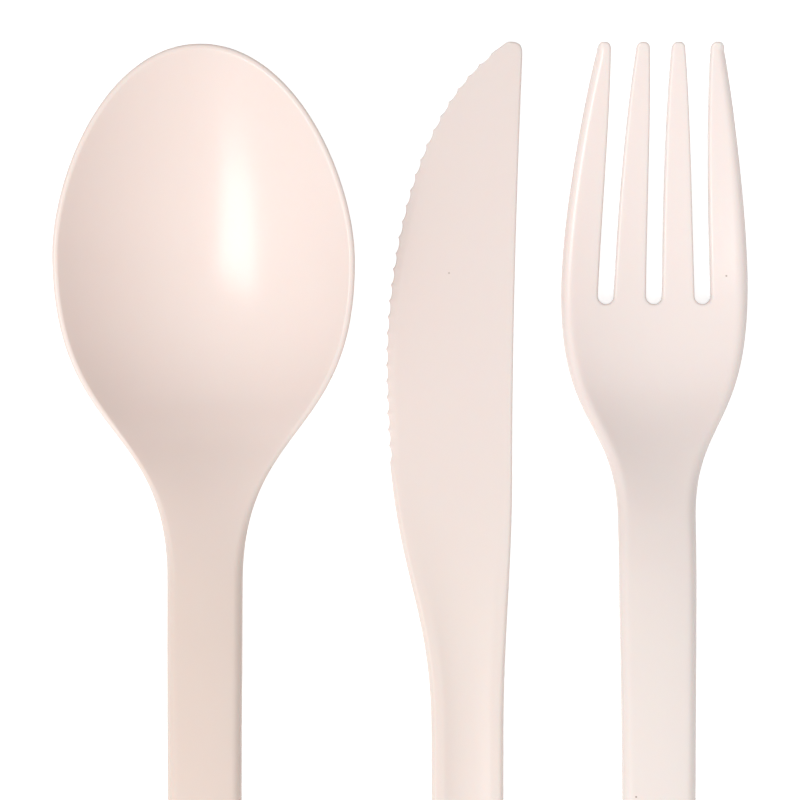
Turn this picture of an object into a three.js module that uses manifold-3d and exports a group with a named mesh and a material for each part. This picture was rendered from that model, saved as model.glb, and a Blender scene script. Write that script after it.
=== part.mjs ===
import * as THREE from 'three';
import { mergeVertices } from 'three/addons/utils/BufferGeometryUtils.js';
import Module from 'manifold-3d';

// A set of disposable plastic cutlery: a spoon, a knife and a fork, each one injection moulding.
// Millimetres. +Z is up from the table, +Y runs from the handles to the heads.
// A station is a distance along a piece, counted from its tip towards the handle end.

// Layout of the set on the table
const setWidth = 96.0;
const knifeAxisX = 9.0;
const knifeLength = 200;
const spoonTipSetback = 1.9;
const forkTipSetback = 1.45;
const spoonLean = 0.0045;

// What the spoon and fork handles share
const handleEndHalf = 6.4;
const handleCrown = 0.35;
const flangeDepth = 3.0;
const flangeWall = 1.5;
const flangeDraft = 0.4;
const footChamfer = 0.25;
const flangeRunIn = 14;
const handleSkin = 1.3;
const handleEdgeRadius = 1.2;
const handleWaistShare = 0.35;
const neckLead = 8;
const waistLead = 12;
const waistTrail = 25;
const handleEndLead = 20;
const handleEndDrop = 1.5;

// Spoon: the bowl is an egg-shaped outline over a round-bottomed dish
const spoonLength = 178;
const bowlHalfWidth = 20.7;
const bowlWidestStation = 29;
const bowlTipFullness = 12.9;
const bowlSideFullness = 11;
const bowlShoulderFullness = 24.7;
const bowlDepth = 9.7;
const bowlWall = 1.25;
const bowlSeat = 1.83;
const lipWidth = 0.75;
const lipRadius = 0.4;
const lipWall = 0.5;
const spoonNeckStation = 73;
const spoonNeckHalf = 5.16;
const spoonNeckFullness = 22;
const spoonWaistHalf = 5.0;
const spoonTipRise = 5.6;
const spoonTipSlopeStation = 18;
const spoonTipSlopeShare = 0.45;
const spoonNeckDip = 4.3;
const spoonDipStation = 53;
const spoonDipLead = 14;
const spoonDipTrail = 16;
const spoonArchRise = 3.6;
const spoonArchStation = 112;
const spoonArchLead = 26;
const spoonArchTrail = 30;
const spoonEndLead = 12;
const bowlFadeStart = 47;
const bowlFadeLength = 27;

// Fork: four tapering tines that curve up, on a dished head
const forkLength = 184;
const headHalfWidth = 12.99;
const headWidestStation = 33.8;
const headTipHalf = 8.15;
const headTipCorner = 0.8;
const headTipLead = 1.5;
const headTipFlare = 0.5;
const headSideFullness = 12.4;
const headShoulderFullness = 18.8;
const forkNeckStation = 65.2;
const forkNeckHalf = 5.38;
const forkNeckFullness = 13.8;
const forkWaistHalf = 5.0;
const tineLength = 35.2;
const tineTipWidth = 1.85;
const tineTipRound = 1.1;
const innerTineRootWidth = 4.46;
const slotWidth = 2.28;
const tineTipFlat = 0.1;
const middleSlotMouth = 2.95;
const outerSlotMouth = 3.45;
const middleSlotPinch = 0.475;
const innerTineSwell = 1.05;
const outerTineSwell = 0.15;
const outerSlotLean = 0.5;
const mouthLead = 8;
const rootLead = 12;
const slotOverrun = 4;
const tineThickness = 1.7;
const headThickness = 2.2;
const headEdgeRadius = 1.1;
const tineEdgeRadius = 0.75;
const tineEdgeRunIn = 6;
const headDish = 1.7;
const headDishStation = 46;
const headDishStart = -12;
const forkHeadHeight = 3.96;
const tineRise = 12.4;
const tineSlopeStation = 10;
const tineSlopeShare = 0.62;
const tineBendStation = 38;
const tineBendLead = 15;
const headFlatEnd = 42;
const headFlatTrail = 16;
const forkArchRise = 9.2;
const forkArchStation = 108;
const forkArchLead = 48;
const forkArchTrail = 36;
const forkEndLead = 14;
const forkHandleLead = 6;
const forkHandleRunIn = 8;

// Knife: a flat serrated blade that runs into a handle with raised rims round a shallow trough
const knifeTipOffset = 5.9;
const knifeTipRound = 1.9;
const knifeTipLead = 0.4;
const serrationStart = 1.7;
const bladeTipEdge = -3.27;
const bladeCurveStation = 13.25;
const bladeCurveReach = 11.24;
const bladeBellyHalf = 11.41;
const bladeBellyStation = 43.9;
const bladeBellyLead = 1.5;
const bladeTipSpineHalf = 7.67;
const bladeSpineHalf = 6.25;
const bladeSpineStation = 60;
const spineCurveStation = 20;
const spineCurveExtra = 0.65;
const spineLevelStation = 40;
const knifeNeckStation = 97;
const knifeNeckHalf = 5.03;
const knifeEdgeFullness = 31.5;
const knifeNeckFullness = 21.5;
const knifeSpineFullness = 14;
const knifeWaistHalf = 4.95;
const knifeHandleStart = 55;
const toothPitch = 2.25;
const toothCount = 27;
const toothDepth = 0.3;
const toothFlatness = 2.6;
const bladeThickness = 1.8;
const grindWidth = 1.3;
const grindDepth = 0.25;
const underGrindWidth = 3.2;
const underGrindDepth = 0.75;
const grindRunOut = 8;
const knifeRimHeight = 0.5;
const knifeRimWidth = 1.7;
const troughRoundness = 2.2;
const troughEndLead = 2;
const knifeEdgeRadius = 0.7;
const spineEdgeRadius = 0.3;
const knifeFullWidth = 9;

// A hard, glossy plastic in a pale blush
const plasticColour = 0xf0dfd6;
const plasticRoughness = 0.22;

// Near a tip, where a section is narrow, its small parts keep to these shares of the half width
const narrowRadiusShare = 0.45;
const narrowShoulderShare = 0.6;
const narrowCoreShare = 0.86;
const narrowDraftShare = 0.4;
const narrowChamferShare = 0.05;

// Fineness of the facets
const loftRows = 52;
const loftEasing = 0.9;
const acrossSteps = 6;
const roundSteps = 3;
const toothRows = 4;
const tipRows = 4;
const plainEdgeRows = 18;
const knifeHandleRows = 22;
const troughPlaces = [0.2, 0.5, 0.8];
const edgePointShare = 0.3;
const curvePoints = 160;
const slotCurvePoints = 10;
const endCut = 0.06;
const spoonFirstStation = 0.03;
const slopeStep = 0.05;
const weldDistance = 1e-5;

const wasm = await Module();
wasm.setup();

const mix = (a, b, t) => a + (b - a) * t;
const smoothstep = THREE.MathUtils.smoothstep;

// A chain of cubic curves in (station, half width), read as a half width for each station
function outline(...curves) {
  const points = curves.flatMap((curve) => curve.getPoints(curvePoints));
  return (station) => {
    const after = points.findIndex((p) => p.x >= station);
    if (after < 0) return points.at(-1).y;
    if (after === 0) return points[0].y;
    const a = points[after - 1];
    const b = points[after];
    return b.x - a.x < weldDistance ? b.y : mix(a.y, b.y, (station - a.x) / (b.x - a.x));
  };
}

const cubic = (...p) => new THREE.CubicBezierCurve(...p.map(([x, y]) => new THREE.Vector2(x, y)));

// A handle's half width beyond the neck: it slims to the waist, widens gently and ends in a full round
function handleOutline(neckStation, neckHalf, waistHalf, length) {
  const endCentre = length - handleEndHalf;
  const waistStation = mix(neckStation, endCentre, handleWaistShare);
  const slim = outline(
    cubic([neckStation, neckHalf], [neckStation + neckLead, neckHalf],
      [waistStation - waistLead, waistHalf], [waistStation, waistHalf]),
    cubic([waistStation, waistHalf], [waistStation + waistTrail, waistHalf],
      [endCentre - handleEndLead, handleEndHalf], [endCentre, handleEndHalf]),
  );
  return (station) => (station < endCentre
    ? slim(station)
    : Math.sqrt(Math.max(handleEndHalf ** 2 - (station - endCentre) ** 2, 0)));
}

// The same outline moved in by the flange wall, where the underside is cored out
function coreOutline(half, length) {
  const endCentre = length - handleEndHalf;
  const endHalf = handleEndHalf - flangeWall;
  return (station) => (station < endCentre
    ? half(station) - flangeWall
    : Math.sqrt(Math.max(endHalf ** 2 - (station - endCentre) ** 2, flangeDraft ** 2 * 4)));
}

// How far the cored-out underside is open at a station: it closes where the end wall stands
function openUnderside(length) {
  return (station) => 1 - smoothstep(station, length - flangeWall - flangeDraft, length - flangeWall);
}

// Stations of the rows of a loft, close together at both ends, where the outline turns round
function stations(length, first) {
  const rows = Array.from({ length: loftRows + 1 }, (_, i) => {
    const even = i / loftRows;
    const eased = (1 - Math.cos(Math.PI * even)) / 2;
    return length * mix(even, eased, loftEasing);
  });
  rows[0] = first;
  rows[loftRows - 1] = length - flangeWall;
  rows[loftRows] = length - endCut;
  return rows.sort((a, b) => a - b);
}

// Joins rings with the same number of points into one closed skin, with a fan over each end
function skin(rings) {
  const count = rings[0].length;
  const positions = rings.flat(2);
  const faces = [];
  for (let row = 0; row < rings.length - 1; row += 1) {
    for (let i = 0; i < count; i += 1) {
      const j = (i + 1) % count;
      const a = row * count + i;
      const b = row * count + j;
      faces.push(a, b + count, b, a, a + count, b + count);
    }
  }
  [0, rings.length - 1].forEach((row) => {
    const contour = rings[row].map(([x, , z]) => new THREE.Vector2(x, z));
    THREE.ShapeUtils.triangulateShape(contour, []).forEach(([a, b, c]) => {
      const start = row * count;
      faces.push(start + a, start + (row ? b : c), start + (row ? c : b));
    });
  });
  const geometry = new THREE.BufferGeometry();
  geometry.setAttribute('position', new THREE.Float32BufferAttribute(positions, 3));
  geometry.setIndex(faces);
  return geometry;
}

function toSolid(geometry) {
  const bare = geometry.clone();
  bare.deleteAttribute('normal');
  bare.deleteAttribute('uv');
  const merged = mergeVertices(bare, weldDistance);
  return new wasm.Manifold(new wasm.Mesh({
    numProp: 3,
    vertProperties: new Float32Array(merged.attributes.position.array),
    triVerts: new Uint32Array(merged.index.array),
  }));
}

function toGeometry(solid) {
  const mesh = solid.getMesh();
  const geometry = new THREE.BufferGeometry();
  geometry.setAttribute('position', new THREE.Float32BufferAttribute(mesh.vertProperties, 3));
  geometry.setIndex(Array.from(mesh.triVerts));
  return geometry;
}

// One section of a spoon or fork: the top face, its shoulder, a rounded edge, and an underside that
// is either the top face moved down by the wall, or cored out between two flanges
function section(form, station) {
  const half = form.half(station);
  const top = (x) => form.top(station, x);
  const radius = Math.min(form.radius(station), half * narrowRadiusShare);
  const shoulder = Math.min(radius + lipWidth - lipRadius, half * narrowShoulderShare);
  const slope = (x) => Math.hypot(
    1,
    (form.top(station, x + slopeStep) - form.top(station, x - slopeStep)) / (2 * slopeStep),
    (form.top(station + slopeStep, x) - form.top(station - slopeStep, x)) / (2 * slopeStep),
  );
  const under = (x) => top(x) - form.wall(station) * slope(x);
  const foot = (x) => mix(under(x), top(half) - flangeDepth, form.flange(station));
  const ceiling = (x) => mix(foot(x), under(x), form.open(station));
  const core = Math.min(form.core(station), half * narrowCoreShare);
  const coreTop = core - Math.min(flangeDraft, core * narrowDraftShare);
  const chamfer = Math.min(footChamfer, half * narrowChamferShare);
  const quarter = Math.PI / 2;
  const right = [];
  for (let i = 0; i <= acrossSteps; i += 1) {
    const x = (half - shoulder) * Math.sin(quarter * (i / acrossSteps));
    right.push([x, top(x)]);
  }
  for (let i = 0; i <= roundSteps; i += 1) {
    const turn = quarter * (i / roundSteps);
    const x = half - radius + radius * Math.sin(turn);
    right.push([x, top(x) - radius * (1 - Math.cos(turn))]);
  }
  right.push([half, foot(half) + chamfer]);
  right.push([half - chamfer, foot(half - chamfer)]);
  right.push([core, foot(core)]);
  for (let i = acrossSteps - 1; i >= 0; i -= 1) {
    const x = coreTop * Math.sin(quarter * (i / (acrossSteps - 1)));
    right.push([x, ceiling(x)]);
  }
  const left = right.slice(1, -1).reverse().map(([x, z]) => [-x, z]);
  return [...right, ...left].map(([x, z]) => [x, -station, z]);
}

// Lofts a spoon or fork through its sections
function loft(form) {
  return skin(stations(form.length, form.firstStation).map((station) => section(form, station)));
}

// Moves a piece up or down until its lowest point touches the table
function setDown(geometry) {
  geometry.computeBoundingBox();
  geometry.translate(0, 0, -geometry.boundingBox.min.z);
  return geometry;
}

function spoonForm() {
  const bowl = outline(
    cubic([0, 0], [0, bowlTipFullness], [bowlWidestStation - bowlSideFullness, bowlHalfWidth],
      [bowlWidestStation, bowlHalfWidth]),
    cubic([bowlWidestStation, bowlHalfWidth], [bowlWidestStation + bowlShoulderFullness, bowlHalfWidth],
      [spoonNeckStation - spoonNeckFullness, spoonNeckHalf], [spoonNeckStation, spoonNeckHalf]),
  );
  const handle = handleOutline(spoonNeckStation, spoonNeckHalf, spoonWaistHalf, spoonLength);
  const half = (s) => (s < spoonNeckStation ? bowl(s) : handle(s));
  const core = coreOutline(half, spoonLength);

  // Side view of the rim: high at the tip, lowest before the neck, then the handle arches over.
  // The bowl's bottom and the end of the handle both touch the table.
  const rimHeight = bowlDepth + bowlWall + bowlSeat;
  const dipHeight = rimHeight - spoonNeckDip;
  const archHeight = rimHeight + spoonArchRise;
  const side = outline(
    cubic([0, rimHeight + spoonTipRise],
      [spoonTipSlopeStation, rimHeight + spoonTipRise * spoonTipSlopeShare],
      [spoonDipStation - spoonDipLead, dipHeight], [spoonDipStation, dipHeight]),
    cubic([spoonDipStation, dipHeight], [spoonDipStation + spoonDipTrail, dipHeight],
      [spoonArchStation - spoonArchLead, archHeight], [spoonArchStation, archHeight]),
    cubic([spoonArchStation, archHeight], [spoonArchStation + spoonArchTrail, archHeight],
      [spoonLength - spoonEndLead, flangeDepth + handleEndDrop], [spoonLength, flangeDepth]),
  );

  // The dish grows deeper with the distance inside the lip, which stays level round the bowl
  const bowlness = (s) => 1 - smoothstep(s, bowlFadeStart, bowlFadeStart + bowlFadeLength);
  const top = (s, x) => {
    const w = half(s);
    const inside = Math.max(w - lipWidth * bowlness(s), 0);
    const depth = bowlDepth * (Math.max(inside ** 2 - x ** 2, 0) / (bowlHalfWidth - lipWidth) ** 2);
    const crown = handleCrown * (1 - bowlness(s)) * (1 - (x / Math.max(w, 1)) ** 2);
    return side(s) - depth * bowlness(s) + crown;
  };
  return {
    length: spoonLength,
    firstStation: spoonFirstStation,
    half,
    core: (s) => mix(core(s), half(s) - lipWall, bowlness(s)),
    top,
    flange: (s) => smoothstep(s, spoonNeckStation, spoonNeckStation + flangeRunIn),
    open: openUnderside(spoonLength),
    wall: (s) => mix(handleSkin, bowlWall, bowlness(s)),
    radius: (s) => mix(handleEdgeRadius, lipRadius, bowlness(s)),
  };
}

function forkForm() {
  const mouthHalf = headTipHalf + headTipCorner / 2;
  const head = outline(
    cubic([0, headTipHalf - headTipCorner], [0, headTipHalf], [tineTipRound / 2, mouthHalf],
      [tineTipRound, mouthHalf]),
    cubic([tineTipRound, mouthHalf], [tineTipRound + headTipLead, mouthHalf + headTipFlare],
      [headWidestStation - headSideFullness, headHalfWidth], [headWidestStation, headHalfWidth]),
    cubic([headWidestStation, headHalfWidth], [headWidestStation + headShoulderFullness, headHalfWidth],
      [forkNeckStation - forkNeckFullness, forkNeckHalf], [forkNeckStation, forkNeckHalf]),
  );
  const handle = handleOutline(forkNeckStation, forkNeckHalf, forkWaistHalf, forkLength);
  const half = (s) => (s < forkNeckStation ? head(s) : handle(s));
  const core = coreOutline(half, forkLength);

  // Side view of the edge: the tines curve up, the head lies low and the handle arches over
  const archHeight = forkHeadHeight + forkArchRise;
  const side = outline(
    cubic([0, forkHeadHeight + tineRise], [tineSlopeStation, forkHeadHeight + tineRise * tineSlopeShare],
      [tineBendStation - tineBendLead, forkHeadHeight], [headFlatEnd, forkHeadHeight]),
    cubic([headFlatEnd, forkHeadHeight], [headFlatEnd + headFlatTrail, forkHeadHeight],
      [forkArchStation - forkArchLead, archHeight], [forkArchStation, archHeight]),
    cubic([forkArchStation, archHeight], [forkArchStation + forkArchTrail, archHeight],
      [forkLength - forkEndLead, flangeDepth + handleEndDrop], [forkLength, flangeDepth]),
  );
  const dish = (s) => headDish * smoothstep(s, headDishStart, headDishStation)
    * (1 - smoothstep(s, headDishStation, forkNeckStation));
  const handleness = (s) => smoothstep(s, forkNeckStation - forkHandleLead,
    forkNeckStation + forkHandleRunIn);
  const radius = (s) => mix(mix(tineEdgeRadius, headEdgeRadius, smoothstep(s, 0, tineEdgeRunIn)),
    handleEdgeRadius, handleness(s));
  const top = (s, x) => {
    const across = 1 - (x / Math.max(half(s), 1)) ** 2;
    return side(s) - dish(s) * across + handleCrown * handleness(s) * across;
  };
  return {
    length: forkLength,
    firstStation: 0,
    half,
    core,
    top,
    flange: (s) => smoothstep(s, forkNeckStation, forkNeckStation + flangeRunIn),
    open: openUnderside(forkLength),
    wall: (s) => mix(mix(tineThickness, headThickness, smoothstep(s, 0, tineLength)),
      handleSkin, handleness(s)),
    radius,
  };
}

// The gap between two tines, seen from above: a flared mouth, curved sides and a round root.
// Each side gives, across the fork, the tine's tip, its side at the mouth, how the side swells
// behind the mouth, its side at the root and how it leans in before the root.
function slotShape(low, high) {
  const rootStation = tineLength - slotWidth / 2;
  const shape = new THREE.Shape();
  shape.moveTo(low.tip, slotOverrun);
  shape.lineTo(low.tip, 0);
  shape.quadraticCurveTo(low.mouth, 0, low.mouth, -tineTipRound);
  shape.bezierCurveTo(low.mouth + low.swell, -tineTipRound - mouthLead, low.root - low.lean,
    -rootStation + rootLead, low.root, -rootStation);
  shape.absarc((low.root + high.root) / 2, -rootStation, slotWidth / 2, Math.PI, 2 * Math.PI, false);
  shape.bezierCurveTo(high.root - high.lean, -rootStation + rootLead, high.mouth + high.swell,
    -tineTipRound - mouthLead, high.mouth, -tineTipRound);
  shape.quadraticCurveTo(high.mouth, 0, high.tip, 0);
  shape.lineTo(high.tip, slotOverrun);
  return shape;
}

function slotCutter(shape) {
  const height = 2 * (forkHeadHeight + tineRise);
  const geometry = new THREE.ExtrudeGeometry(shape, {
    depth: 2 * height,
    bevelEnabled: false,
    curveSegments: slotCurvePoints,
  });
  geometry.translate(0, 0, -height);
  return toSolid(geometry);
}

// The three slots: one on the middle line, and one each side that leans outwards
function slots() {
  const innerMouth = middleSlotMouth / 2;
  const nearMouth = innerMouth + tineTipWidth;
  const farMouth = nearMouth + outerSlotMouth;
  const innerTip = innerMouth + tineTipWidth / 2 + tineTipFlat;
  const outerTip = farMouth + tineTipWidth / 2 - tineTipFlat;
  const root = slotWidth / 2;
  const inner = {
    tip: innerTip - 2 * tineTipFlat, mouth: innerMouth, swell: -middleSlotPinch, root, lean: 0,
  };
  const mirrored = {
    tip: -inner.tip, mouth: -innerMouth, swell: middleSlotPinch, root: -root, lean: 0,
  };
  const near = {
    tip: innerTip,
    mouth: nearMouth,
    swell: innerTineSwell,
    root: root + innerTineRootWidth,
    lean: outerSlotLean,
  };
  const far = {
    tip: outerTip,
    mouth: farMouth,
    swell: -outerTineSwell,
    root: near.root + slotWidth,
    lean: outerSlotLean,
  };
  const right = slotCutter(slotShape(near, far));
  return [slotCutter(slotShape(mirrored, inner)), right, right.mirror([1, 0, 0])];
}

function spoonGeometry() {
  return setDown(loft(spoonForm()));
}

function forkGeometry() {
  const blank = toSolid(loft(forkForm()));
  return setDown(toGeometry(slots().reduce((solid, slot) => solid.subtract(slot), blank)));
}

// Both sides of the knife seen from above, in (station, distance to the left of the handle's axis)
function knifeSides() {
  const handle = handleOutline(knifeNeckStation, knifeNeckHalf, knifeWaistHalf, knifeLength);
  const edge = [
    cubic([0, -knifeTipOffset], [0, knifeTipLead - knifeTipOffset],
      [knifeTipLead, 2 * knifeTipLead - knifeTipOffset], [serrationStart, bladeTipEdge]),
    cubic([serrationStart, bladeTipEdge], [bladeCurveStation, bladeCurveReach],
      [bladeBellyStation - bladeBellyLead, bladeBellyHalf], [bladeBellyStation, bladeBellyHalf]),
    cubic([bladeBellyStation, bladeBellyHalf], [bladeBellyStation + knifeEdgeFullness, bladeBellyHalf],
      [knifeNeckStation - knifeNeckFullness, knifeNeckHalf], [knifeNeckStation, knifeNeckHalf]),
  ];
  const spine = outline(
    cubic([0, knifeTipOffset], [0, bladeTipSpineHalf - knifeTipLead], [knifeTipLead, bladeTipSpineHalf],
      [knifeTipRound, bladeTipSpineHalf]),
    cubic([knifeTipRound, bladeTipSpineHalf], [spineCurveStation, bladeSpineHalf + spineCurveExtra],
      [spineLevelStation, bladeSpineHalf], [bladeSpineStation, bladeSpineHalf]),
    cubic([bladeSpineStation, bladeSpineHalf], [bladeSpineStation + knifeSpineFullness, bladeSpineHalf],
      [knifeNeckStation - knifeSpineFullness, knifeNeckHalf], [knifeNeckStation, knifeNeckHalf]),
  );
  return { edge, handle, spine: (s) => (s < knifeNeckStation ? spine(s) : handle(s)) };
}

// Rows of the knife: a point on the cutting side and the station of the spine point opposite.
// The teeth are shallow hollows along the edge that meet in points.
function knifeRows() {
  const { edge, handle, spine } = knifeSides();
  const path = new THREE.CurvePath();
  edge.slice(1).forEach((curve) => path.add(curve));
  const rows = edge[0].getPoints(tipRows).slice(0, -1).map((p) => ({ reach: p.y, at: p.x, station: p.x }));
  rows[0] = { reach: 2 * endCut - knifeTipOffset, at: 0, station: 0 };
  const length = path.getLength();
  const toothed = toothCount * toothPitch;
  for (let i = 0; i < toothCount * toothRows; i += 1) {
    const along = (i / toothRows) * toothPitch;
    const phase = (i % toothRows) / toothRows;
    const hollow = toothDepth * (1 - Math.abs(2 * phase - 1) ** toothFlatness);
    const p = path.getPointAt(along / length);
    const direction = path.getTangentAt(along / length);
    rows.push({ reach: p.y - hollow * direction.x, at: p.x + hollow * direction.y, station: p.x });
  }
  for (let i = 0; i < plainEdgeRows; i += 1) {
    const p = path.getPointAt(mix(toothed, length, i / plainEdgeRows) / length);
    rows.push({ reach: p.y, at: p.x, station: p.x });
  }
  for (let i = 0; i <= knifeHandleRows; i += 1) {
    const eased = Math.sin((Math.PI / 2) * (i / knifeHandleRows));
    const station = Math.min(mix(knifeNeckStation, knifeLength, eased), knifeLength - endCut);
    rows.push({ reach: handle(station), at: station, station });
  }
  return rows.map((row) => ({ ...row, spine: spine(row.station) }));
}

// One section of the knife: the edge ground on both faces, the rims and the trough between them.
// Its small parts shrink with it where the knife is narrow.
function knifeSection({ reach, at, station, spine }) {
  const width = reach + spine;
  const small = Math.min(1, width / knifeFullWidth);
  const handleness = smoothstep(station, knifeHandleStart, knifeNeckStation);
  const toothed = toothCount * toothPitch;
  const cutting = 1 - smoothstep(station, toothed - grindRunOut / 2, toothed + grindRunOut / 2);
  const rimHeight = knifeRimHeight * handleness;
  const endFade = 1 - smoothstep(station, knifeLength - handleEndHalf - troughEndLead,
    knifeLength - knifeRimWidth);
  const rim = knifeRimWidth * small;
  const ground = grindWidth * small;
  const leftRadius = knifeEdgeRadius * small * (1 - cutting);
  const rightRadius = mix(spineEdgeRadius, knifeEdgeRadius, handleness) * small;
  const rounding = (r, d) => (d < r ? r - Math.sqrt(r * r - (r - d) ** 2) : 0);
  const face = (d) => {
    const q = THREE.MathUtils.clamp((d - rim) / (width - 2 * rim), 0, 1);
    const raised = 1 - (1 - Math.abs(2 * q - 1) ** troughRoundness) * endFade;
    const grind = cutting * grindDepth * (1 - Math.min(d / ground, 1));
    return bladeThickness + rimHeight * raised - grind - rounding(leftRadius, d)
      - rounding(rightRadius, width - d);
  };
  const leftEdge = knifeEdgeRadius * small;
  const left = [0, leftEdge * edgePointShare, leftEdge, ground, rim];
  const right = [rim, rightRadius, rightRadius * edgePointShare, 0].map((d) => width - d);
  const inner = troughPlaces.map((q) => mix(rim, width - rim, q));
  const ring = [...left, ...inner, ...right].map((d) => [d, face(d)]);
  const chamfer = footChamfer * small;
  const underCut = mix(chamfer, underGrindDepth, cutting);
  const underReach = mix(chamfer, underGrindWidth * small, cutting);
  ring.push([width, chamfer], [width - chamfer, 0], [underReach, 0], [0, underCut]);
  return ring.map(([d, z]) => [d - reach, -mix(at, station, d / width), z]);
}

function knifeGeometry() {
  return skin(knifeRows().map(knifeSection));
}

const plastic = (name) => new THREE.MeshStandardMaterial({
  name, color: plasticColour, roughness: plasticRoughness, metalness: 0,
});

function piece(name, geometry, x, tipY, lean = 0) {
  const mesh = new THREE.Mesh(geometry, plastic(name));
  mesh.name = name;
  mesh.position.set(x, tipY, 0);
  mesh.rotation.z = lean;
  return mesh;
}

const cutlery = new THREE.Group();
const knifeTipY = knifeLength / 2;
const spoonX = -setWidth / 2 + bowlHalfWidth - spoonLean * bowlWidestStation;
cutlery.add(piece('spoon', spoonGeometry(), spoonX, knifeTipY - spoonTipSetback, spoonLean));
cutlery.add(piece('knife', knifeGeometry(), knifeAxisX, knifeTipY));
cutlery.add(piece('fork', forkGeometry(), setWidth / 2 - headHalfWidth, knifeTipY - forkTipSetback));
export default cutlery;
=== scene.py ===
# %% [markdown]
# # Blush plastic cutlery: a spoon, a knife and a fork
#
# Three thin mouldings lie side by side on a table, and the camera looks straight down on them.
# Each one is a single shot of plastic, so what makes it look real isn't a join or a screw. It is
# the way a polished wall turns over at its edge, dips into a bowl and picks up a soft light.
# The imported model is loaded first. It gives the place and size of each piece, and nothing moves it.

import bmesh
import bpy
import numpy as np
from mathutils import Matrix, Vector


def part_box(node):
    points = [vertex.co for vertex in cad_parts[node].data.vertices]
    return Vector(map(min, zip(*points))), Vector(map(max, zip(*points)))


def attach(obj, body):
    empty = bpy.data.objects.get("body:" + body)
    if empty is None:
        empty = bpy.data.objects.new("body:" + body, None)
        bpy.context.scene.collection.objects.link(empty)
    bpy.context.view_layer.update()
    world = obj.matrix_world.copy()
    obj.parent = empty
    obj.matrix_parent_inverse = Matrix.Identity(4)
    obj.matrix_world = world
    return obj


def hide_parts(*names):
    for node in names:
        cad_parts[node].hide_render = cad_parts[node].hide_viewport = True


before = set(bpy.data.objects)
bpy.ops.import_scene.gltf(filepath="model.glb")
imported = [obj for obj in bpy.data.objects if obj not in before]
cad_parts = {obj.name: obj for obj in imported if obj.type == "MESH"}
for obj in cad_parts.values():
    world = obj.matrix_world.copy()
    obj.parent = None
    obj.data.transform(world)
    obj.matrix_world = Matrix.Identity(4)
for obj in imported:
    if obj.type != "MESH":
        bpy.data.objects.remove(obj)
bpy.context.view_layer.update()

print("Packed pieces:", ", ".join(sorted(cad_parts)))

# %% [markdown]
# ## Outlines as chains of curves
#
# Seen from above, a spoon is two curves on each side: one from the tip to the widest place, and
# an S from there to the neck. A designer would draw them as cubic curves with level handles, and
# so does this script. A station is a distance in millimetres from the tip towards the handle end,
# and an offset is a distance to the right of the middle line.

# %% Curve helpers
MM = 0.001


def cubic(start, lead, trail, end, count=240):
    """A curve that leaves the start towards lead, and comes to the end from trail."""
    t = np.linspace(0, 1, count)[:, None]
    points = [np.array(point, float) for point in (start, lead, trail, end)]
    weights = [(1 - t) ** 3, 3 * t * (1 - t) ** 2, 3 * t * t * (1 - t), t**3]
    return sum(weight * point for weight, point in zip(weights, points))


def swing(start, end, lead, trail):
    """An S that leaves the start level and comes to the end level, with handles of these lengths."""
    return cubic(start, (start[0] + lead, start[1]), (end[0] - trail, end[1]), end)


def quarter(count):
    """Sines and cosines over a quarter turn."""
    turn = np.linspace(0, np.pi / 2, count)
    return np.sin(turn), np.cos(turn)


def chain(*curves):
    return np.vstack([curves[0]] + [curve[1:] for curve in curves[1:]])


def reader(points):
    """Reads a chain of (station, value) points as value for any station."""
    return lambda station: np.interp(station, points[:, 0], points[:, 1])


def smooth(value, start, end):
    """0 up to the start, 1 from the end on, and an eased rise between them."""
    t = np.clip((value - start) / (end - start), 0, 1)
    return t * t * (3 - 2 * t)


def mix(a, b, t):
    return a + (b - a) * t


print("A quarter turn drawn with cubic():", cubic((0, 0), (0, 0.55), (0.45, 1), (1, 1), 3).tolist())

# %% [markdown]
# A mesh needs points at chosen distances along such a chain. Round ends need finer steps than
# straight sides, so a walk takes short steps there and longer ones between.

# %% Walks along a chain
FINE_STEP = 0.3
END_RUN = 12


def distances(points):
    """How far along a chain each of its points lies."""
    return np.concatenate([[0], np.cumsum(np.hypot(*np.diff(points, axis=0).T))])


def walked(points, stops):
    """The places that lie at the given distances along a chain."""
    along = distances(points)
    return np.column_stack([np.interp(stops, along, points[:, axis]) for axis in (0, 1)])


def even(points, count):
    """A walk in a fixed number of equal steps."""
    return walked(points, np.linspace(0, distances(points)[-1], count + 1))


def spaced(points, step, tip_run=0):
    """A walk in steps of about the given length, and in fine ones near the tip and the end."""
    total = distances(points)[-1]
    stops = [0.0]
    while stops[-1] < total:
        fine = stops[-1] < tip_run or stops[-1] >= total - END_RUN
        stops.append(stops[-1] + (FINE_STEP if fine else step))
    return walked(points, np.array(stops) * total / stops[-1])


print("Ten millimetres in four steps:", even(np.array([[0.0, 0.0], [10.0, 0.0]]), 4)[:, 0].tolist())

# %% [markdown]
# ## The plan: a grid that follows the edge
#
# A moulded edge is rounded all the way round, also at the tips. That only looks right if the
# mesh follows the edge. So each plan is a grid: outer columns lie at fixed distances inside the
# outline, and the columns between them share out what is left. Each point remembers its distance
# from the edge, the radius of the rounding there, and its share of the way across.

# %% Plan grids
FIELDS = ("station", "offset", "inset", "radius", "share", "side", "along", "level")
EDGE_STEPS = np.array([0, 0.02, 0.07, 0.15, 0.27, 0.42, 0.6, 0.8, 1.0])
FAR_INSIDE = 99.0


def inward(points, side):
    """Unit normals of an edge walked from the tip, pointing into the plastic. side is 1 on the right."""
    tangent = np.gradient(points, axis=0)
    tangent /= np.linalg.norm(tangent, axis=1)[:, None]
    return np.column_stack([side * tangent[:, 1], -side * tangent[:, 0]])


def block(points, inset, radius, share, side):
    """Columns of a plan: points with what they remember."""
    shape = points.shape[:2]
    facts = [inset, radius[:, None], share, side, 0]
    return np.dstack([points] + [np.broadcast_to(np.asarray(fact, float), shape) for fact in facts])


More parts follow.
